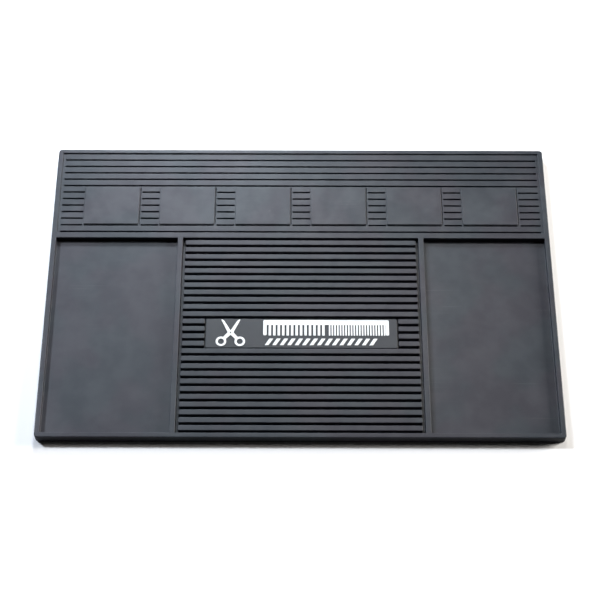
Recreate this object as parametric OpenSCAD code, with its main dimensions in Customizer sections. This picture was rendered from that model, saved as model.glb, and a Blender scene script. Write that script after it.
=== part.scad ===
// Barber station mat: one moulded rubber slab with a raised rim, a slotted band
// with magnetic tool pads along the back, a tray at each side, and a ribbed panel
// with a badge plate in the middle. Millimetres. The mat lies on z = 0, +Y is its
// back edge and +X its right side.

/* [Mat] */
// Width, left to right
mat_w = 450; // [430:1:520]
// Depth, front to back
mat_d = 290; // [288:1:330]
// Height of the rim above the bench
mat_t = 10; // [9.6:0.1:14]
// Radius of the outline's corners
corner_r = 3; // [1:0.5:10]
// Thickness of the floor under the trays and the ribs
floor_t = 4.5; // [4:0.1:5]

/* [Rim and walls] */
// Width of the rim at the left and the right
rim_side = 4.4; // [3:0.1:8]
// Width of the rim at the back
rim_back = 4; // [3:0.1:6]
// Width of the rim at the front
rim_front = 4.4; // [3:0.1:6.5]
// Width of the rail in front of the slotted band
rail_w = 5.6; // [3:0.1:7.5]
// Width of the wall between the panel and each tray
divider_w = 4.6; // [3:0.1:8]
// Width of each tray
tray_w = 109.8; // [80:0.1:115]

/* [Slotted band] */
// How far the band's surface lies below the rim
band_drop = 1.3; // [1:0.1:2]
// Distance from one slot to the next
slot_pitch = 7; // [6.9:0.05:7.1]
// Width of a slot
slot_w = 1.4; // [1:0.1:2]
// Depth of a slot
slot_depth = 1.8; // [1:0.1:2.5]
// Gap from a slot's end to the rim
slot_end_gap = 2.4; // [1:0.1:4]
// Number of slots that run the full width behind the pads
slots_behind_pads = 5; // [4:1:5]

/* [Pads] */
// Width of a pad
pad_w = 50; // [44:1:54]
// Depth of a pad, front to back
pad_d = 40; // [38:1:40]
// Distance from one pad to the next
pad_pitch = 69; // [67:1:70]
// How far a pad stands above the band's surface
pad_rise = 1; // [0.5:0.1:1]
// Corner radius of a pad
pad_r = 1; // [0.5:0.1:2]
// Gap from a pad to the short slot at its right
pad_to_slot = 2; // [1.6:0.1:3]
// Gap from a short slot's right end to the next pad
slot_to_pad = 0.7; // [0.5:0.1:3]
// Distance from a pad to the middle of the fine groove at its right
pad_line_gap = 0.8; // [0.6:0.1:1]
// Width of that groove
pad_line_w = 0.7; // [0.5:0.1:0.8]

/* [Magnets] */
// Width of a magnet
magnet_w = 30; // [20:1:36]
// Depth of a magnet, front to back
magnet_d = 26; // [20:1:30]
// Thickness of a magnet
magnet_t = 5; // [3:0.5:5]
// Rubber skin between a magnet and the pad's surface
pad_skin = 1.5; // [1.2:0.1:2]
// How far a closing cap reaches past its magnet, all round
cap_lip = 2; // [1:0.5:3]
// How far a closing cap lies inside the underside
cap_inset = 0.3; // [0.1:0.1:0.5]

/* [Ribbed panel] */
// Distance from one rib to the next
rib_pitch = 7.25; // [7:0.05:7.3]
// Width of a rib
rib_w = 4.8; // [4:0.05:5.2]
// Number of ribs, front to back
rib_count = 26; // [24:1:26]
// How far the ribs' tops lie below the rim
rib_drop = 0.4; // [0:0.1:1]
// Gap between a rib's end and the wall beside it
rib_end_gap = 2.6; // [1:0.1:4]
// Corner radius of a rib
rib_r = 0.8; // [0.3:0.1:1.5]

/* [Badge plate] */
// Width of the plate
badge_w = 167; // [160:1:170]
// Thickness of the plate
badge_t = 2; // [1:0.1:2.5]
// How far the plate's surface lies below the rim
badge_drop = 0.6; // [0.4:0.1:1]
// How far the plate's middle lies to the right of the mat's
badge_shift = 0.9; // [0:0.1:1.5]
// Gap between the plate's side and the short ribs
badge_side_gap = 1.3; // [0.5:0.1:2]
// Gap between the plate and the rib in front of it
badge_front_gap = 0.55; // [0.3:0.05:1]
// First rib that the plate takes the place of, counted from the back
badge_first_rib = 12; // [6:1:18]
// Number of ribs that the plate takes the place of
badge_rib_count = 4; // [4:1:5]

/* [Badge marks] */
// How far the white marks stand above the plate
mark_t = 0.6; // [0.3:0.1:0.6]
// Length of the comb
comb_w = 110; // [80:1:114]
// Height of the comb, spine and teeth
comb_h = 15; // [10:0.5:16]
// Height of the comb's spine
comb_spine = 4.6; // [3:0.1:6]
// Distance between the coarse teeth
coarse_pitch = 3.9; // [3:0.1:5]
// Distance between the fine teeth
fine_pitch = 2.4; // [2:0.1:3]
// Share of a tooth's pitch that is tooth
tooth_share = 0.55; // [0.4:0.05:0.6]
// Length of the striped bar
stripe_w = 104; // [80:1:110]
// Height of the striped bar
stripe_h = 6.4; // [4:0.1:7]
// Distance between the stripes
stripe_pitch = 6.5; // [5:0.1:8]
// How far a stripe leans over its height
stripe_lean = 4; // [0:0.1:6]
// Outer radius of a scissor's finger ring
ring_r = 4.6; // [3:0.1:5]
// Radius of the opening in a finger ring
ring_hole_r = 2.7; // [1.5:0.1:3]

/* [Hidden] */
$fn = 48;
over = 1;            // how far a cut runs past a face
pad_count = 6;       // one for each magnet node

// Inner edges of the rim
side_x = mat_w / 2 - rim_side;
back_y = mat_d / 2 - rim_back;
front_y = -mat_d / 2 + rim_front;

// Slotted band, from the back rim to the rail. The last slot but one runs beside the
// pads and in front of them, and the last one runs the full width.
band_z = mat_t - band_drop;
slot_x = side_x - slot_end_gap;
slots_beside_pads = round((pad_d + slot_w) / slot_pitch);
slot_count = slots_behind_pads + slots_beside_pads + 1;
function slot_y(k) = back_y - k * slot_pitch;
band_front_y = slot_y(slot_count) - slot_w;

// Pads lie just in front of the last full slot behind them
pad_top_z = band_z + pad_rise;
pad_back_y = slot_y(slots_behind_pads) - slot_w;
pad_mid_y = pad_back_y - pad_d / 2;
function pad_x(i) = (i - (pad_count + 1) / 2) * pad_pitch;
line_front_gap = 0.2;    // from a pad's front edge to the end of the groove beside it
line_back_gap = 0.6;     // the same at the pad's back edge

// Magnet pockets, from the top down
magnet_top_z = pad_top_z - pad_skin;
magnet_low_z = magnet_top_z - magnet_t;

// Trays and panel, in front of the rail
well_back_y = band_front_y - rail_w;
well_d = well_back_y - front_y;
well_mid_y = (well_back_y + front_y) / 2;
tray_mid_x = side_x - tray_w / 2;
panel_w = 2 * (side_x - tray_w - divider_w);

// Ribs
rib_z = mat_t - rib_drop;
rib_x = panel_w / 2 - rib_end_gap;
rib_margin = (well_d - (rib_count - 1) * rib_pitch - rib_w) / 2;
function rib_back_y(k) = well_back_y - rib_margin - (k - 1) * rib_pitch;
badge_ribs = [for (k = [0 : badge_rib_count - 1]) badge_first_rib + k];
whole_ribs = [for (k = [1 : rib_count]) if (len(search(k, badge_ribs)) == 0) k];

// Badge plate and what it stands on
badge_top_z = mat_t - badge_drop;
badge_low_z = badge_top_z - badge_t;
badge_back_y = rib_back_y(badge_first_rib);
badge_front_y = rib_back_y(badge_first_rib + badge_rib_count) + badge_front_gap;
badge_d = badge_back_y - badge_front_y;
badge_mid_y = (badge_back_y + badge_front_y) / 2;
badge_left_x = badge_shift - badge_w / 2;
badge_right_x = badge_shift + badge_w / 2;

// Places of the marks, from the plate's middle
scissors_at = [-62, 0.4];
comb_at = [21.5, 5.2];
stripe_at = [20, -8.6];
comb_guard = 3;      // width of the thick tooth at each end
comb_tip_r = 1.2;    // corner radius of the comb

// A rectangle of w by d with round corners, centred
module round_rect(w, d, r) {
    square([w - 2 * r, d], center = true);
    square([w, d - 2 * r], center = true);
    for (x = [-1, 1], y = [-1, 1])
        translate([x * (w / 2 - r), y * (d / 2 - r)])
            circle(r = r);
}

// A block with round vertical corners, between two x, two y and two z
module round_block(x0, x1, y0, y1, z0, z1, r) {
    translate([(x0 + x1) / 2, (y0 + y1) / 2, z0])
        linear_extrude(z1 - z0)
            round_rect(x1 - x0, y1 - y0, r);
}

// A plain block, centred in x and y at [x, y], between two z
module block(x, y, w, d, z0, z1) {
    translate([x - w / 2, y - d / 2, z0])
        cube([w, d, z1 - z0]);
}

// A slot cut down into the band, from x0 to x1
module slot(x0, x1, y) {
    round_block(x0, x1, y - slot_w / 2, y + slot_w / 2,
                band_z - slot_depth, mat_t + over, slot_w / 2 - 0.01);
}

// Every slot of the band
module band_slots() {
    for (k = [1 : slots_behind_pads])
        slot(-slot_x, slot_x, slot_y(k));
    for (k = [slots_behind_pads + 1 : slot_count - 1])
        for (i = [0 : pad_count])
            slot(i == 0 ? -slot_x : pad_x(i) + pad_w / 2 + pad_to_slot,
                 i == pad_count ? slot_x : pad_x(i + 1) - pad_w / 2 - slot_to_pad,
                 slot_y(k));
    for (i = [1 : pad_count])
        slot(pad_x(i) - pad_w / 2 + pad_r, pad_x(i) + pad_w / 2 - pad_r,
             slot_y(slot_count - 1));
    slot(-slot_x, slot_x, slot_y(slot_count));
}

// The fine groove along the right side of pad i
module pad_line(i) {
    line_x = pad_x(i) + pad_w / 2 + pad_line_gap;
    round_block(line_x - pad_line_w / 2, line_x + pad_line_w / 2,
                pad_mid_y - pad_d / 2 + line_front_gap,
                pad_mid_y + pad_d / 2 - line_back_gap,
                band_z - slot_depth, mat_t + over, pad_line_w / 2 - 0.01);
}

// The raised pads, which start inside the floor of the band
module pads() {
    for (i = [1 : pad_count])
        round_block(pad_x(i) - pad_w / 2, pad_x(i) + pad_w / 2,
                    pad_mid_y - pad_d / 2, pad_mid_y + pad_d / 2,
                    band_z - over / 2, pad_top_z, pad_r);
}

// The ribs of the panel, whole ones and the short ones beside the plate
module ribs() {
    for (k = whole_ribs)
        round_block(-rib_x, rib_x, rib_back_y(k) - rib_w, rib_back_y(k),
                    floor_t - over, rib_z, rib_r);
    for (k = badge_ribs) {
        round_block(-rib_x, badge_left_x - badge_side_gap,
                    rib_back_y(k) - rib_w, rib_back_y(k), floor_t - over, rib_z, rib_r);
        round_block(badge_right_x + badge_side_gap, rib_x,
                    rib_back_y(k) - rib_w, rib_back_y(k), floor_t - over, rib_z, rib_r);
    }
}

// The pocket of magnet i, open to the underside, with a step for its cap
module magnet_pocket(i) {
    block(pad_x(i), pad_mid_y, magnet_w, magnet_d, -over, magnet_top_z);
    block(pad_x(i), pad_mid_y, magnet_w + 2 * cap_lip, magnet_d + 2 * cap_lip,
          -over, magnet_low_z);
}

// The moulded slab
module mat_body() {
    color([0.11, 0.12, 0.13])
    difference() {
        union() {
            difference() {
                linear_extrude(mat_t)
                    round_rect(mat_w, mat_d, corner_r);
                translate([-side_x, band_front_y, band_z])
                    cube([2 * side_x, back_y - band_front_y, mat_t]);
                band_slots();
                for (i = [1 : pad_count])
                    pad_line(i);
                for (x = [-tray_mid_x, tray_mid_x])
                    block(x, well_mid_y, tray_w, well_d, floor_t, mat_t + over);
                block(0, well_mid_y, panel_w, well_d, floor_t, mat_t + over);
            }
            pads();
            ribs();
            block(badge_shift, badge_mid_y, badge_w, badge_d, floor_t - over, badge_low_z);
        }
        for (i = [1 : pad_count])
            magnet_pocket(i);
    }
}

// A flat block magnet under pad i
module magnet(i) {
    color([0.45, 0.46, 0.48])
    block(pad_x(i), pad_mid_y, magnet_w, magnet_d, magnet_low_z, magnet_top_z);
}

// The rubber plug that closes pocket i
module magnet_cap(i) {
    color([0.16, 0.17, 0.18])
    block(pad_x(i), pad_mid_y, magnet_w + 2 * cap_lip, magnet_d + 2 * cap_lip,
          cap_inset, magnet_low_z);
}

// The smooth plate that bears the marks
module badge_plate() {
    color([0.2, 0.21, 0.23])
    block(badge_shift, badge_mid_y, badge_w, badge_d, badge_low_z, badge_top_z);
}

// A flat white mark, standing on the plate at a place from the plate's middle
module mark(at) {
    color("white")
    translate([badge_shift + at[0], badge_mid_y + at[1], badge_top_z])
        linear_extrude(mark_t)
            children();
}

// One half of the scissors: a blade, its shank and its finger ring
module scissor_half() {
    polygon([[-2.1, -1.6], [1.1, -2.4], [8.4, 12.6], [7.4, 12.9], [5.6, 11.4]]);
    polygon([[-0.9, 2.2], [-7.2, -5.4], [-4.9, -7], [1.3, -0.8]]);
    difference() {
        translate([-8.2, -8.6])
            circle(r = ring_r);
        translate([-8.2, -8.6])
            circle(r = ring_hole_r);
    }
}

// A pair of open scissors, points to the back
module scissors_mark() {
    mark(scissors_at) {
        difference() {
            union() {
                scissor_half();
                mirror([1, 0]) scissor_half();
            }
            circle(r = 0.8);
        }
    }
}

// Teeth of one pitch, side by side from x0 towards x1
module teeth(x0, x1, pitch) {
    for (x = [x0 : pitch : x1 - pitch * tooth_share])
        translate([x, -comb_h / 2])
            square([pitch * tooth_share, comb_h - comb_spine / 2]);
}

// A barber's comb, coarse teeth on the left and fine ones on the right
module comb_mark() {
    inner = comb_w / 2 - comb_guard;
    mark(comb_at) {
        translate([0, (comb_h - comb_spine) / 2])
            round_rect(comb_w, comb_spine, comb_tip_r);
        for (x = [-1, 1])
            translate([x * (comb_w - comb_guard) / 2, 0])
                round_rect(comb_guard, comb_h, comb_tip_r);
        teeth(-inner + coarse_pitch * (1 - tooth_share), 0, coarse_pitch);
        teeth(fine_pitch, inner, fine_pitch);
    }
}

// A bar of leaning stripes
module stripe_mark() {
    bar = stripe_pitch / 2;
    mark(stripe_at)
        for (x = [-stripe_w / 2 : stripe_pitch : stripe_w / 2 - bar - stripe_lean])
            translate([x, -stripe_h / 2])
                polygon([[0, 0], [bar, 0], [bar + stripe_lean, stripe_h],
                         [stripe_lean, stripe_h]]);
}

mat_body();
magnet(1);  // magnet_1
magnet(2);  // magnet_2
magnet(3);  // magnet_3
magnet(4);  // magnet_4
magnet(5);  // magnet_5
magnet(6);  // magnet_6
magnet_cap(1);  // magnet_cap_1
magnet_cap(2);  // magnet_cap_2
magnet_cap(3);  // magnet_cap_3
magnet_cap(4);  // magnet_cap_4
magnet_cap(5);  // magnet_cap_5
magnet_cap(6);  // magnet_cap_6
badge_plate();
scissors_mark();
comb_mark();
stripe_mark();
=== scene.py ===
"""Looks of the barber station mat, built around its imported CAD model.

The rubber slab, its badge plate, the magnets and their caps are rebuilt as closed
meshes with rounded edges, from the same dimensions as the CAD model. The white marks
take the CAD nodes' shapes and round their edges. Lengths are in millimetres until a
mesh is made.
"""

import math

import bmesh
import bpy
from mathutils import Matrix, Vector, noise
from mathutils.geometry import delaunay_2d_cdt


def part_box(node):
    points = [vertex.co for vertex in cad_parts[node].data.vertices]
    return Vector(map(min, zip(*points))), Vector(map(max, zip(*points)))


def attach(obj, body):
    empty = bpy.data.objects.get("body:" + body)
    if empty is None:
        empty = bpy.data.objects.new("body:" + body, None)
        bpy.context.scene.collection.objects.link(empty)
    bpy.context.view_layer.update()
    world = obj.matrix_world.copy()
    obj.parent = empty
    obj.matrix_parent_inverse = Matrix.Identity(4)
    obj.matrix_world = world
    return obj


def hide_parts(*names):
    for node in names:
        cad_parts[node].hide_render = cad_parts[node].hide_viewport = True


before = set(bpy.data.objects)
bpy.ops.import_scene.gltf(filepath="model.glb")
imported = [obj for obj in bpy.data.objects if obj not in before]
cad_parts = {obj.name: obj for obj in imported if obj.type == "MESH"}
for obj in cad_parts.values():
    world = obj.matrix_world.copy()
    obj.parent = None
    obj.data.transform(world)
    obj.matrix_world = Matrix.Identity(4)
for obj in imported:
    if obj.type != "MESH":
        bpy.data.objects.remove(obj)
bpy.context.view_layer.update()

MM = 0.001

# ---------------------------------------------------------------- dimensions


def box_mm(node):
    """Lowest and highest corner of a CAD node, in millimetres."""
    low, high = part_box(node)
    return low / MM, high / MM


mat_low, mat_high = box_mm("mat_body")
plate_low, plate_high = box_mm("badge_plate")
MAT_T = mat_high.z
CORNER_R = 3.0
FLOOR_Z = 4.5            # floor of the trays and of the ribbed panel

RIM_SIDE = 4.4
RIM_BACK = 4.0
RIM_FRONT = 4.4
RAIL_W = 5.6
DIVIDER_W = 4.6
TRAY_W = 109.8

BAND_Z = MAT_T - 1.3     # surface of the slotted band
SLOT_PITCH = 7.0
SLOT_W = 1.4
SLOT_DEPTH = 1.8
SLOT_END_GAP = 2.4
SLOT_TO_PAD = 0.7        # from a short slot's right end to the next pad
PAD_TO_SLOT = 2.0        # from a pad to the next short slot's left end
SLOTS_BEHIND_PADS = 5
SLOTS_BESIDE_PADS = 6
SLOT_COUNT = SLOTS_BEHIND_PADS + SLOTS_BESIDE_PADS + 1

PAD_COUNT = 6
PAD_NUMBERS = range(1, PAD_COUNT + 1)
PAD_W = 50.0
PAD_D = 40.0
PAD_TOP = BAND_Z + 1.0
PAD_LINE_GAP = 0.8       # from a pad to the middle of the fine groove at its right
PAD_LINE_W = 0.7
LINE_FRONT_GAP = 0.2     # from a pad's front edge to that groove's end
LINE_BACK_GAP = 0.6

RIB_PITCH = 7.25
RIB_W = 4.8
RIB_COUNT = 26
RIB_TOP = MAT_T - 0.4
RIB_END_GAP = 2.6
PLATE_RIBS = (12, 13, 14, 15)    # ribs that the badge plate takes the place of
PLATE_SIDE_GAP = 1.3

side_x = mat_high.x - RIM_SIDE
back_y = mat_high.y - RIM_BACK
front_y = mat_low.y + RIM_FRONT
slot_x = side_x - SLOT_END_GAP
band_front_y = back_y - SLOT_COUNT * SLOT_PITCH - SLOT_W
well_back_y = band_front_y - RAIL_W
panel_x = side_x - TRAY_W - DIVIDER_W
rib_x = panel_x - RIB_END_GAP
rib_margin = (well_back_y - front_y - (RIB_COUNT - 1) * RIB_PITCH - RIB_W) / 2


def slot_y(k):
    """Middle of the band's slot row k, counted from the back."""
    return back_y - k * SLOT_PITCH


def rib_back_y(k):
    """Back of rib k, counted from the back."""
    return well_back_y - rib_margin - (k - 1) * RIB_PITCH


# ---------------------------------------------------------------- mesh building

ARC_STEPS = 4            # segments in a quarter circle, in plan
EDGE_STEPS = 3           # segments in a rounded edge, in section
SIDE_STEP = 9.0          # longest segment along a straight side
LEAST_RADIUS = 0.03
MOST_GROWTH = 5.0        # no ring lies further than this outside its rectangle
GRID_CLEAR = 0.4         # from a grid's points to the edges round it, in grid spacings
GRID_SHIFT = 0.4         # from one row of a grid to the next, sideways, in grid spacings
INSIDE_TRIANGLES = 1     # what delaunay_2d_cdt gives back: triangles inside the outlines
SAME_POINT = 1e-6


class Rect:
    """A rectangle in plan, with round corners."""

    def __init__(self, x0, x1, y0, y1, radius):
        self.x0, self.x1, self.y0, self.y1, self.radius = x0, x1, y0, y1, radius

    @classmethod
    def around(cls, x, y, width, depth, radius):
        """The rectangle of that width and depth whose middle is at x, y."""
        return cls(x - width / 2, x + width / 2, y - depth / 2, y + depth / 2, radius)

    def outline(self, grow):
        """Points counter-clockwise, with the rectangle grown outwards by grow. Their
        number doesn't depend on grow, so outlines of one rectangle match."""
        inset = self.radius
        radius = max(self.radius + grow, LEAST_RADIUS)
        centres = (
            (self.x1 - inset, self.y0 + inset, -90),
            (self.x1 - inset, self.y1 - inset, 0),
            (self.x0 + inset, self.y1 - inset, 90),
            (self.x0 + inset, self.y0 + inset, 180),
        )
        corners = []
        for x, y, start in centres:
            angles = [math.radians(start + 90 * i / ARC_STEPS) for i in range(ARC_STEPS + 1)]
            corners.append([Vector((x + radius * math.cos(a), y + radius * math.sin(a)))
                            for a in angles])
        tall = max(1, math.ceil((self.y1 - self.y0) / SIDE_STEP))
        wide = max(1, math.ceil((self.x1 - self.x0) / SIDE_STEP))
        points = []
        for i, corner in enumerate(corners):
            points += corner
            parts = tall if i % 2 == 0 else wide
            end = corners[(i + 1) % 4][0]
            points += [corner[-1].lerp(end, k / parts) for k in range(1, parts)]
        return points

    def holds(self, point, margin):
        """True if point is inside the rectangle grown by margin."""
        return (self.x0 - margin < point.x < self.x1 + margin
                and self.y0 - margin < point.y < self.y1 + margin)


def inside(point, outline):
    """True if point lies inside the outline."""
    crossings = 0
    for a, b in zip(outline, outline[1:] + outline[:1]):
        if (a.y > point.y) != (b.y > point.y):
            share = (point.y - a.y) / (b.y - a.y)
            crossings += point.x < a.x + share * (b.x - a.x)
    return crossings % 2 == 1


class Shell:
    """A closed surface, made of bands round rectangles and flat fills between them."""

    def __init__(self):
        self.points = []
        self.faces = []

    def ring(self, rect, grow, z):
        """Adds rect's outline, grown by grow, at height z. Returns its points' numbers."""
        first = len(self.points)
        self.points += [Vector((p.x, p.y, z)) for p in rect.outline(grow)]
        return list(range(first, len(self.points)))

    def band(self, rect, profile):
        """Joins rings of (grow, z) one to the next. Returns the first and the last."""
        rings = [self.ring(rect, grow, z) for grow, z in profile]
        for low, high in zip(rings, rings[1:]):
            for i in range(len(low)):
                j = (i + 1) % len(low)
                self.faces.append((low[i], low[j], high[j], high[i]))
        return rings[0], rings[-1]

    def fill(self, outer, holes=(), spacing=0.0):
        """Flat triangles inside the ring outer and outside the rings in holes, each a
        (ring, rect) pair. spacing adds a grid of points for the surface's relief."""
        ring, rect = outer
        used = []
        edges = []
        for loop in [ring] + [h for h, _ in holes]:
            start = len(used)
            used += loop
            edges += [(start + i, start + (i + 1) % len(loop)) for i in range(len(loop))]
        z = self.points[ring[0]].z
        if spacing:
            used += self.grid(rect, [r for _, r in holes], z, spacing)
        flat = [self.points[i].to_2d() for i in used]
        made = delaunay_2d_cdt(flat, edges, [], INSIDE_TRIANGLES, SAME_POINT)
        corners, triangles, origins = made[0], made[2], made[3]
        source = [used[ids[0]] for ids in origins]
        gaps = [[self.points[i].to_2d() for i in loop] for loop, _ in holes]
        for face in triangles:
            centre = sum((corners[i] for i in face), Vector((0, 0))) / 3
            if not any(r.holds(centre, MOST_GROWTH) and inside(centre, gap)
                       for gap, (_, r) in zip(gaps, holes)):
                self.faces.append(tuple(source[i] for i in face))

    def grid(self, rect, holes, z, spacing):
        """Points every spacing or so inside rect, clear of its edge and of the holes."""
        clear = spacing * GRID_CLEAR
        first = len(self.points)
        columns = round((rect.x1 - rect.x0) / spacing)
        rows = round((rect.y1 - rect.y0) / spacing)
        for i in range(1, columns):
            for j in range(1, rows):
                shift = (j % 2 - 0.5) * spacing * GRID_SHIFT
                p = Vector((rect.x0 + (rect.x1 - rect.x0) * i / columns + shift,
                            rect.y0 + (rect.y1 - rect.y0) * j / rows, z))
                if rect.holds(p, -clear) and not any(h.holds(p, clear) for h in holes):
                    self.points.append(p)
        return list(range(first, len(self.points)))

    def build(self, name, material, relief=None):
        """The mesh object, in metres, shaded smooth with its flat faces kept flat. relief
        moves each point first."""
        mesh = bpy.data.meshes.new(name)
        points = [relief(p) if relief else p for p in self.points]
        mesh.from_pydata([p * MM for p in points], [], self.faces)
        work = bmesh.new()
        work.from_mesh(mesh)
        bmesh.ops.recalc_face_normals(work, faces=work.faces)
        work.to_mesh(mesh)
        work.free()
        piece = bpy.data.objects.new(name, mesh)
        bpy.context.scene.collection.objects.link(piece)
        finish_piece(piece, material)
        return piece


def finish_piece(piece, material):
    """Gives a new piece its material and its shading."""
    piece.data.materials.append(material)
    piece.data.shade_smooth()
    weighted = piece.modifiers.new("flat faces", "WEIGHTED_NORMAL")
    weighted.mode = "FACE_AREA"


QUARTER_TURN = [math.pi / 2 * i / EDGE_STEPS for i in range(EDGE_STEPS + 1)]


def rounded(top_z, radius, inward):
    """Profile of a rounded edge, from the wall up to the top at top_z. inward is 1 where
    the top lies inside the wall's outline, as on a rib, and -1 round a recess."""
    return [(-inward * radius * (1 - math.cos(t)), top_z - radius * (1 - math.sin(t)))
            for t in QUARTER_TURN]


def fillet(low_z, radius, inward):
    """Profile of the hollow at a wall's foot, from the floor at low_z up to the wall."""
    return [(inward * radius * (1 - math.sin(t)), low_z + radius * (1 - math.cos(t)))
            for t in QUARTER_TURN]


def bottom_edge(low_z, radius):
    """Profile of a block's rounded lower edge, from its underside up to the wall."""
    return [(-grow, z) for grow, z in fillet(low_z, radius, 1)]


def island(shell, rect, low_z, top_z, edge, foot):
    """A raised block. Returns its foot ring and its top ring."""
    return shell.band(rect, fillet(low_z, foot, 1) + rounded(top_z, edge, 1))


def recess(shell, rect, low_z, top_z, edge, foot):
    """A sunken area. Returns its floor ring and its brim ring."""
    return shell.band(rect, fillet(low_z, foot, -1) + rounded(top_z, edge, -1))


# ---------------------------------------------------------------- the moulded slab

# Radii: EDGE is a rounded edge, FOOT is the hollow at a wall's foot, and R is a corner
# in plan.
OUTER_EDGE = 0.9
INNER_EDGE = 0.4
BASE_EDGE = 0.5
FOOT = 0.35
BAND_R = 0.6
WELL_R = 0.8             # trays and panel
SLOT_EDGE = 0.3
SLOT_FOOT = 0.25
PAD_EDGE = 0.35
PAD_R = 1.0
RIB_EDGE = 0.45
RIB_FOOT = 0.2
RIB_R = 0.8
SEAT_EDGE = 0.2
PLATE_R = 0.8
MOUTH_EDGE = 0.2
POCKET_R = 0.4

SINK = 0.12              # how far a pad's skin has sunk over its magnet
SINK_SLOPE = 4.0         # half of the width of the slope round it
SINK_R = 5.0             # corner radius at the middle of that slope
SLOPE_STEPS = 4

RELIEF = 0.07            # unevenness of the moulded surface
RELIEF_MEAN = 0.5        # how far the surface lies down on average, as a share of RELIEF
RELIEF_SWING = 0.35      # how far the waves take it up and down from there
LONG_WAVE = 46.0         # lengths of the waves
SHORT_WAVE = 17.0
SHORT_SHARE = 0.4        # the short waves' height against the long ones'
SHORT_LAYER = 9.0        # where in the noise the short waves are read

PAD_GRID = 6.0           # spacing of the points on each surface
BAND_GRID = 7.0
TRAY_GRID = 6.0
BASE_GRID = 12.0


def pad_rect(i):
    """Pad i, which lies over magnet i."""
    low, high = box_mm(f"magnet_{i}")
    middle = (low + high) / 2
    return Rect.around(middle.x, middle.y, PAD_W, PAD_D, PAD_R)


def slot_rects():
    """Every slot of the band: the long rows, the short ones between the pads, one along
    each pad's front, and the fine groove at its right."""
    pads = [pad_rect(i) for i in PAD_NUMBERS]
    long_rows = list(range(1, SLOTS_BEHIND_PADS + 1)) + [SLOT_COUNT]
    half = SLOT_W / 2
    spans = [(-slot_x, slot_x, slot_y(k) - half, slot_y(k) + half) for k in long_rows]
    starts = [-slot_x] + [p.x1 + PAD_TO_SLOT for p in pads]
    ends = [p.x0 - SLOT_TO_PAD for p in pads] + [slot_x]
    for k in range(SLOTS_BEHIND_PADS + 1, SLOT_COUNT):
        spans += [(x0, x1, slot_y(k) - half, slot_y(k) + half) for x0, x1 in zip(starts, ends)]
    front = slot_y(SLOT_COUNT - 1) - half
    for pad in pads:
        line_x = pad.x1 + PAD_LINE_GAP
        spans.append((pad.x0 + SLOT_EDGE, pad.x1 - SLOT_EDGE, front, pad.y0 - 2 * SLOT_EDGE))
        spans.append((line_x - PAD_LINE_W / 2, line_x + PAD_LINE_W / 2,
                      pad.y0 + LINE_FRONT_GAP, pad.y1 - LINE_BACK_GAP))
    return [Rect(x0, x1, y0, y1, min(x1 - x0, y1 - y0) / 2 - LEAST_RADIUS)
            for x0, x1, y0, y1 in spans]


def add_pad(shell, i):
    """A pad, with a shallow sink where its magnet lies under the skin."""
    rect = pad_rect(i)
    foot, brim = island(shell, rect, BAND_Z, PAD_TOP, PAD_EDGE, LEAST_RADIUS)
    low, high = box_mm(f"magnet_{i}")
    sunk = Rect(low.x, high.x, low.y, high.y, SINK_R)
    steps = [k / SLOPE_STEPS for k in range(SLOPE_STEPS + 1)]
    slope = [(SINK_SLOPE * (1 - 2 * t), PAD_TOP - SINK * (3 * t * t - 2 * t ** 3)) for t in steps]
    outer, inner = shell.band(sunk, slope)
    shell.fill((brim, rect), [(outer, sunk)])
    shell.fill((inner, sunk), spacing=PAD_GRID)
    return foot, rect


def add_band(shell):
    """The slotted band with its pads. Returns its brim."""
    rect = Rect(-side_x, side_x, band_front_y, back_y, BAND_R)
    floor, brim = recess(shell, rect, BAND_Z, MAT_T, INNER_EDGE, FOOT)
    holes = []
    for slot in slot_rects():
        low, high = recess(shell, slot, BAND_Z - SLOT_DEPTH, BAND_Z, SLOT_EDGE, SLOT_FOOT)
        shell.fill((low, slot))
        holes.append((high, slot))
    holes += [add_pad(shell, i) for i in PAD_NUMBERS]
    shell.fill((floor, rect), holes, spacing=BAND_GRID)
    return brim, rect


def add_tray(shell, x0, x1):
    """A side tray. Returns its brim."""
    rect = Rect(x0, x1, front_y, well_back_y, WELL_R)
    floor, brim = recess(shell, rect, FLOOR_Z, MAT_T, INNER_EDGE, FOOT)
    shell.fill((floor, rect), spacing=TRAY_GRID)
    return brim, rect


def rib_rects():
    """Whole ribs, and the short ones at both sides of the badge plate."""
    rects = []
    for k in range(1, RIB_COUNT + 1):
        y1 = rib_back_y(k)
        ends = [(-rib_x, rib_x)]
        if k in PLATE_RIBS:
            ends = [(-rib_x, plate_low.x - PLATE_SIDE_GAP), (plate_high.x + PLATE_SIDE_GAP, rib_x)]
        rects += [Rect(x0, x1, y1 - RIB_W, y1, RIB_R) for x0, x1 in ends]
    return rects


def add_panel(shell):
    """The ribbed panel with the seat of the badge plate. Returns its brim."""
    rect = Rect(-panel_x, panel_x, front_y, well_back_y, WELL_R)
    floor, brim = recess(shell, rect, FLOOR_Z, MAT_T, INNER_EDGE, FOOT)
    blocks = [(r, RIB_TOP, RIB_EDGE) for r in rib_rects()]
    seat = Rect(plate_low.x, plate_high.x, plate_low.y, plate_high.y, PLATE_R)
    blocks.append((seat, plate_low.z, SEAT_EDGE))
    holes = []
    for block, top_z, edge in blocks:
        foot, top = island(shell, block, FLOOR_Z, top_z, edge, RIB_FOOT)
        shell.fill((top, block))
        holes.append((foot, block))
    shell.fill((floor, rect), holes)
    return brim, rect


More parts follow.
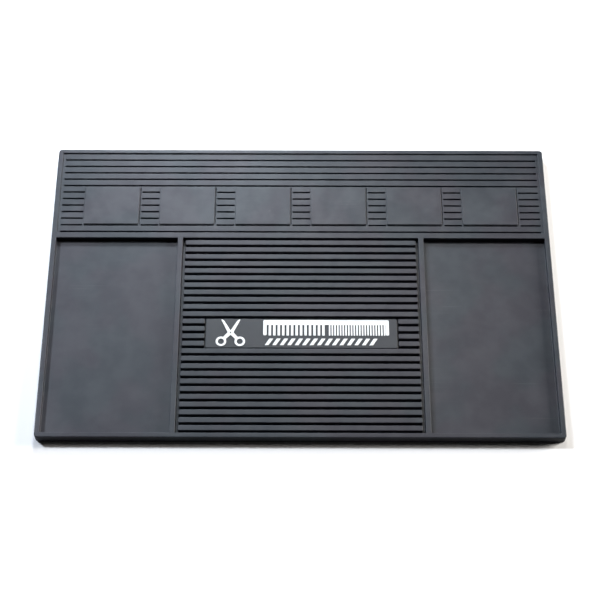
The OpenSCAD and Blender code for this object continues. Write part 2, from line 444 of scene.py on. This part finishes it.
def add_pocket(shell, i):
    """The stepped pocket of magnet i, open to the underside. Returns its mouth."""
    cap_low, cap_high = box_mm(f"magnet_cap_{i}")
    low, high = box_mm(f"magnet_{i}")
    mouth_rect = Rect(cap_low.x, cap_high.x, cap_low.y, cap_high.y, POCKET_R)
    magnet_rect = Rect(low.x, high.x, low.y, high.y, POCKET_R)
    mouth, step = shell.band(mouth_rect, [(MOUTH_EDGE, 0.0), (0.0, MOUTH_EDGE), (0.0, low.z)])
    inner, roof = shell.band(magnet_rect, [(0.0, low.z), (0.0, high.z)])
    shell.fill((step, mouth_rect), [(inner, magnet_rect)])
    shell.fill((roof, magnet_rect))
    return mouth, mouth_rect


def uneven(p):
    """Moves a point of the slab down by the slight unevenness of moulded rubber. The
    underside stays flat, and no point rises."""
    long_wave = noise.noise(Vector((p.x, p.y, 0)) / LONG_WAVE)
    short_wave = noise.noise(Vector((p.x, p.y, SHORT_LAYER)) / SHORT_WAVE)
    wave = long_wave + SHORT_SHARE * short_wave
    share = min(p.z / FLOOR_Z, 1)
    return Vector((p.x, p.y, p.z - RELIEF * share * (RELIEF_MEAN + RELIEF_SWING * wave)))


def make_mat(material):
    """The whole moulding, as one closed surface."""
    shell = Shell()
    outline = Rect(mat_low.x, mat_high.x, mat_low.y, mat_high.y, CORNER_R)
    base = bottom_edge(0.0, BASE_EDGE)
    wall = base + [(0.0, MAT_T / 2)] + rounded(MAT_T, OUTER_EDGE, 1)
    bottom, top = shell.band(outline, wall)
    brims = [add_band(shell), add_panel(shell),
             add_tray(shell, -side_x, -side_x + TRAY_W), add_tray(shell, side_x - TRAY_W, side_x)]
    shell.fill((top, outline), brims)
    pockets = [add_pocket(shell, i) for i in PAD_NUMBERS]
    shell.fill((bottom, outline), pockets, spacing=BASE_GRID)
    mat = shell.build("mat_slab", material, uneven)
    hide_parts("mat_body")
    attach(mat, "root")


# ---------------------------------------------------------------- small pieces

PLATE_EDGE = 0.4
MAGNET_R = 0.4
CAP_R = 0.6
BLOCK_EDGE = 0.3         # magnets and caps
BLOCK_GRID = 8.0


def make_block(name, node, radius, edge, material):
    """A closed block with rounded edges that fills a CAD node's box."""
    low, high = box_mm(node)
    rect = Rect(low.x, high.x, low.y, high.y, radius)
    shell = Shell()
    bottom, top = shell.band(rect, bottom_edge(low.z, edge) + rounded(high.z, edge, 1))
    shell.fill((bottom, rect))
    shell.fill((top, rect), spacing=BLOCK_GRID)
    piece = shell.build(name, material)
    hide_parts(node)
    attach(piece, "root")


MARK_EDGE = 0.14
MARK_STEPS = 2           # segments in the rounded edge of a mark
ROUND = 0.5              # the bevel's profile: a quarter circle
WELD = 0.001             # points closer than this are one point
FLAT = math.radians(1)   # faces that meet at less than this are one flat face


def make_mark(name, node, material):
    """A white mark in the CAD node's shape: its triangles joined into flat faces, and the
    edges of its top rounded."""
    work = bmesh.new()
    work.from_mesh(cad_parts[node].data)
    bmesh.ops.remove_doubles(work, verts=work.verts, dist=WELD * MM)
    bmesh.ops.dissolve_limit(work, angle_limit=FLAT, verts=work.verts, edges=work.edges)
    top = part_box(node)[1].z - WELD * MM
    brim = [e for e in work.edges
            if all(v.co.z > top for v in e.verts) and e.calc_face_angle(0) > FLAT]
    bmesh.ops.bevel(work, geom=brim, offset=MARK_EDGE * MM, offset_type="OFFSET",
                    segments=MARK_STEPS, profile=ROUND, affect="EDGES")
    mesh = bpy.data.meshes.new(name)
    work.to_mesh(mesh)
    work.free()
    piece = bpy.data.objects.new(name, mesh)
    bpy.context.scene.collection.objects.link(piece)
    finish_piece(piece, material)
    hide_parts(node)
    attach(piece, "root")


# ---------------------------------------------------------------- materials

# Colours are linear. Distances in a material are in metres, and the sizes of its
# features are given as how many there are to the metre.
DUST = (0.25, 0.26, 0.27)
MAT_GREYS = ((0.0180, 0.0222, 0.0286), (0.0229, 0.0216, 0.0291))
PLATE_GREYS = ((0.0255, 0.0285, 0.0330), (0.0270, 0.0285, 0.0335))
CAP_GREYS = ((0.030, 0.031, 0.034), (0.033, 0.033, 0.036))
INLAY_WHITES = ((0.86, 0.86, 0.85), (0.78, 0.78, 0.77))
FERRITE_GREYS = ((0.045, 0.045, 0.05), (0.09, 0.09, 0.095))

CLOUDS = ((24, 0.032), (95, 0.018))      # (features to the metre, share of dust)
RUBBED = 0.035           # shares of dust in the other marks of wear
DUSTY = 0.03
SCUFFED = 0.05
SPECKLED = 0.3
RUBBED_SOFT = 0.003      # width over which the rubbed row of pads fades out
DOT_CORE, DOT_RIM = 0.02, 0.035          # a dot's radius and its soft rim's, in cells
STREAK_LOW, STREAK_HIGH = 0.62, 0.72     # the noise over which a streak comes in
GLOSS_SWING = 0.035      # how far the roughness of rubber varies each way
RUBBER_SPECULAR = 0.4
MOULD_WAVES = 0.0002     # depths of bumps
RUBBER_GRAIN = 0.00003
FERRITE_GRAIN = 0.00005
FERRITE_METALLIC = 0.25


class Nodes:
    """A material under construction."""

    def __init__(self, name):
        self.material = bpy.data.materials.new(name)
        self.material.use_nodes = True
        self.tree = self.material.node_tree
        self.shader = self.tree.nodes["Principled BSDF"]
        self.place = self.add("ShaderNodeTexCoord").outputs["Object"]

    def add(self, kind, **settings):
        """A new node, with these settings."""
        node = self.tree.nodes.new(kind)
        for key, value in settings.items():
            setattr(node, key, value)
        return node

    def link(self, source, socket):
        """Feeds source into socket."""
        self.tree.links.new(source, socket)

    def noise(self, per_metre, detail=2.0, roughness=0.5):
        """Grey noise with that many features to the metre."""
        node = self.add("ShaderNodeTexNoise")
        node.inputs["Scale"].default_value = per_metre
        node.inputs["Detail"].default_value = detail
        node.inputs["Roughness"].default_value = roughness
        self.link(self.place, node.inputs["Vector"])
        return node.outputs["Fac"]

    def ramp(self, source, low, high, a, b):
        """Maps low..high of source to a..b, smoothly and within them."""
        node = self.add("ShaderNodeMapRange", interpolation_type="SMOOTHSTEP")
        for socket, value in zip(("From Min", "From Max", "To Min", "To Max"), (low, high, a, b)):
            node.inputs[socket].default_value = value
        self.link(source, node.inputs["Value"])
        return node.outputs["Result"]

    def rise(self, source, low, high, most=1.0):
        """0 where source is below low, and most where it is above high."""
        return self.ramp(source, low, high, 0.0, most)

    def between(self, axis, low, high, soft):
        """1 where the place on an axis (0 to 2) is between low and high, and 0 elsewhere."""
        split = self.add("ShaderNodeSeparateXYZ")
        self.link(self.place, split.inputs["Vector"])
        place = split.outputs[axis]
        return self.times(self.rise(place, low - soft, low),
                          self.ramp(place, high, high + soft, 1.0, 0.0))

    def times(self, a, b):
        """The product of two sockets."""
        node = self.add("ShaderNodeMath", operation="MULTIPLY")
        self.link(a, node.inputs[0])
        self.link(b, node.inputs[1])
        return node.outputs["Value"]

    def dots(self, per_metre):
        """1 inside small round dots, at most that many to the metre, and 0 elsewhere."""
        cells = self.add("ShaderNodeTexVoronoi", feature="F1")
        cells.inputs["Scale"].default_value = per_metre
        self.link(self.place, cells.inputs["Vector"])
        return self.ramp(cells.outputs["Distance"], DOT_CORE, DOT_RIM, 1.0, 0.0)

    def streaks(self, along, across):
        """Thin streaks along X: noise with that many features to the metre each way."""
        stretch = self.add("ShaderNodeMapping")
        stretch.inputs["Scale"].default_value = (along, across, 1)
        self.link(self.place, stretch.inputs["Vector"])
        node = self.add("ShaderNodeTexNoise")
        node.inputs["Scale"].default_value = 1
        node.inputs["Detail"].default_value = 2
        self.link(stretch.outputs["Vector"], node.inputs["Vector"])
        return self.rise(node.outputs["Fac"], STREAK_LOW, STREAK_HIGH)

    def mix(self, share, a, b):
        """Colour a to colour b by share. a and b are colours or sockets."""
        node = self.add("ShaderNodeMix", data_type="RGBA")
        self.link(share, node.inputs["Factor"])
        for socket, value in ((node.inputs[6], a), (node.inputs[7], b)):
            if isinstance(value, tuple):
                socket.default_value = (*value, 1)
            else:
                self.link(value, socket)
        return node.outputs[2]

    def bump(self, layers):
        """Bump from (height, depth in metres) layers, one on the other."""
        normal = None
        for height, depth in layers:
            node = self.add("ShaderNodeBump")
            node.inputs["Strength"].default_value = 1.0
            node.inputs["Distance"].default_value = depth
            self.link(height, node.inputs["Height"])
            if normal:
                self.link(normal, node.inputs["Normal"])
            normal = node.outputs["Normal"]
        self.link(normal, self.shader.inputs["Normal"])


def wear(n, worn):
    """Shares of dust over the rubber: clouds, a rubbed row of pads, fine dust, scuffs and
    specks. worn is how strong they are, from 0 to 1."""
    clouds = [n.rise(n.noise(per_metre, detail=3.0), 0.35, 0.65, share * worn)
              for per_metre, share in CLOUDS]
    pad_row = n.between(1, pad_rect(1).y0 * MM, pad_rect(1).y1 * MM, RUBBED_SOFT)
    rubbed = n.times(n.rise(n.noise(52, detail=3.0), 0.42, 0.62, RUBBED * worn), pad_row)
    dust = n.rise(n.noise(420, detail=5.0, roughness=0.7), 0.55, 0.85, DUSTY * worn)
    scuffed = n.rise(n.noise(13, detail=1.0), 0.52, 0.68, SCUFFED * worn)
    scuffs = n.times(n.streaks(along=12, across=520), scuffed)
    speckled = n.rise(n.noise(31, detail=1.0), 0.58, 0.66, SPECKLED * worn)
    specks = n.times(n.dots(75), speckled)
    return clouds + [rubbed, dust, scuffs, specks]


def rubber(name, greys, rough, worn):
    """Moulded rubber, finely grained, in blotches of two close greys. worn is how cloudy,
    dusty and scuffed it is, from 0 to 1."""
    n = Nodes(name)
    colour = n.mix(n.rise(n.noise(17, detail=3.0), 0.42, 0.58), *greys)
    for share in wear(n, worn):
        colour = n.mix(share, colour, DUST)
    n.link(colour, n.shader.inputs["Base Color"])
    gloss = n.ramp(n.noise(40, detail=4.0), 0.3, 0.7, rough - GLOSS_SWING, rough + GLOSS_SWING)
    n.link(gloss, n.shader.inputs["Roughness"])
    n.shader.inputs["Specular IOR Level"].default_value = RUBBER_SPECULAR
    n.bump([(n.noise(9, detail=1.0), MOULD_WAVES), (n.noise(2600, detail=3.0), RUBBER_GRAIN)])
    return n.material


def white_inlay():
    """White rubber, slightly dulled in patches."""
    n = Nodes("white_rubber")
    tint = n.rise(n.noise(120, detail=4.0), 0.35, 0.7)
    n.link(n.mix(tint, *INLAY_WHITES), n.shader.inputs["Base Color"])
    n.link(n.ramp(n.noise(60), 0.3, 0.7, 0.42, 0.55), n.shader.inputs["Roughness"])
    n.bump([(n.noise(1800, detail=2.0), RUBBER_GRAIN)])
    return n.material


def ferrite():
    """Sintered ferrite: dark grey, grainy and dull."""
    n = Nodes("sintered_ferrite")
    grain = n.rise(n.noise(900, detail=5.0, roughness=0.7), 0.3, 0.7)
    n.link(n.mix(grain, *FERRITE_GREYS), n.shader.inputs["Base Color"])
    n.link(n.ramp(n.noise(300, detail=4.0), 0.3, 0.7, 0.45, 0.7), n.shader.inputs["Roughness"])
    n.shader.inputs["Metallic"].default_value = FERRITE_METALLIC
    n.bump([(n.noise(1500, detail=4.0), FERRITE_GRAIN)])
    return n.material


# ---------------------------------------------------------------- the object

mat_rubber = rubber("moulded_rubber", MAT_GREYS, rough=0.46, worn=1.0)
plate_rubber = rubber("plate_rubber", PLATE_GREYS, rough=0.45, worn=0.3)
cap_rubber = rubber("plug_rubber", CAP_GREYS, rough=0.6, worn=1.0)
inlay = white_inlay()
sintered = ferrite()

make_mat(mat_rubber)
make_block("badge_slab", "badge_plate", PLATE_R, PLATE_EDGE, plate_rubber)
for i in PAD_NUMBERS:
    make_block(f"magnet_block_{i}", f"magnet_{i}", MAGNET_R, BLOCK_EDGE, sintered)
    make_block(f"cap_plug_{i}", f"magnet_cap_{i}", CAP_R, BLOCK_EDGE, cap_rubber)
make_mark("scissors_inlay", "scissors_mark", inlay)
make_mark("comb_inlay", "comb_mark", inlay)
make_mark("stripe_inlay", "stripe_mark", inlay)

# ---------------------------------------------------------------- studio

# Lengths here are in metres.
FLOOR_SIZE = 12.0
FLOOR_SEEN = (1.0, 0.98, 0.97)       # the floor's colour to the camera
FLOOR_BOUNCE = (0.40, 0.40, 0.40)    # what the floor throws back at the object
FLOOR_ROUGHNESS = 0.9
FLOOR_SPECULAR = 0.1
FADE_START, FADE_END = 0.45, 1.1     # distances over which the floor turns plain white
WORLD_GLOW = 0.01
WHITE = (1, 1, 1, 1)

COOL = (0.88, 0.98, 1.11)            # colours of the lights
WARM = (1.02, 1.0, 0.96)

SENSOR_MM = 36.0
LENS_MM = 91.76
CAMERA_PLACE = (-0.0033, -0.6499, 1.2017)
CAMERA_TURN = (28.10, -0.173, 0.068)     # degrees about X, Y and Z


def make_floor():
    """A white floor that throws less light back than it shows, and that stays white far
    from the lights."""
    bpy.ops.mesh.primitive_plane_add(size=FLOOR_SIZE, location=(0, 0, 0))
    floor = bpy.context.object
    floor.name = "floor"
    n = Nodes("white_floor")
    seen = n.add("ShaderNodeLightPath").outputs["Is Camera Ray"]
    n.link(n.mix(seen, FLOOR_BOUNCE, FLOOR_SEEN), n.shader.inputs["Base Color"])
    distance = n.add("ShaderNodeVectorMath", operation="LENGTH")
    n.link(n.place, distance.inputs[0])
    far = n.rise(distance.outputs["Value"], FADE_START, FADE_END)
    n.shader.inputs["Emission Color"].default_value = WHITE
    n.link(n.times(far, seen), n.shader.inputs["Emission Strength"])
    n.shader.inputs["Roughness"].default_value = FLOOR_ROUGHNESS
    n.shader.inputs["Specular IOR Level"].default_value = FLOOR_SPECULAR
    floor.data.materials.append(n.material)


def make_light(name, place, width, height, watts, colour):
    """A soft box at place, facing the middle of the object's underside."""
    data = bpy.data.lights.new(name, "AREA")
    data.shape = "RECTANGLE"
    data.size, data.size_y = width, height
    data.energy = watts
    data.color = colour
    light = bpy.data.objects.new(name, data)
    bpy.context.scene.collection.objects.link(light)
    light.location = place
    light.rotation_euler = (-Vector(place)).to_track_quat("-Z", "Y").to_euler()


def make_world():
    """White behind the floor for the camera, and only a faint glow as light."""
    world = bpy.data.worlds.new("studio")
    bpy.context.scene.world = world
    world.use_nodes = True
    nodes, links = world.node_tree.nodes, world.node_tree.links
    glow = nodes["Background"]
    glow.inputs["Color"].default_value = WHITE
    glow.inputs["Strength"].default_value = WORLD_GLOW
    seen = nodes.new("ShaderNodeBackground")
    seen.inputs["Color"].default_value = WHITE
    path = nodes.new("ShaderNodeLightPath")
    pick = nodes.new("ShaderNodeMixShader")
    links.new(path.outputs["Is Camera Ray"], pick.inputs[0])
    links.new(glow.outputs[0], pick.inputs[1])
    links.new(seen.outputs[0], pick.inputs[2])
    links.new(pick.outputs[0], nodes["World Output"].inputs["Surface"])


def make_camera():
    """A camera above the front, looking down at the mat."""
    data = bpy.data.cameras.new("camera")
    data.sensor_width = SENSOR_MM
    data.lens = LENS_MM
    camera = bpy.data.objects.new("camera", data)
    bpy.context.scene.collection.objects.link(camera)
    camera.location = CAMERA_PLACE
    camera.rotation_euler = [math.radians(a) for a in CAMERA_TURN]
    bpy.context.scene.camera = camera


make_floor()
make_world()
make_light("low_back", (-0.14, 0.66, 0.52), width=0.13, height=0.13, watts=5.1, colour=COOL)
make_light("left_high", (-1.2, 0.69, 1.4), width=0.22, height=0.22, watts=27.5, colour=COOL)
make_light("over", (0.1, 0.55, 1.1), width=0.25, height=0.2, watts=3.2, colour=WARM)
make_light("right_side", (2.2, 0.6, 0.9), width=1.0, height=1.0, watts=90, colour=WARM)
make_camera()
bpy.context.scene.view_settings.view_transform = "Standard"
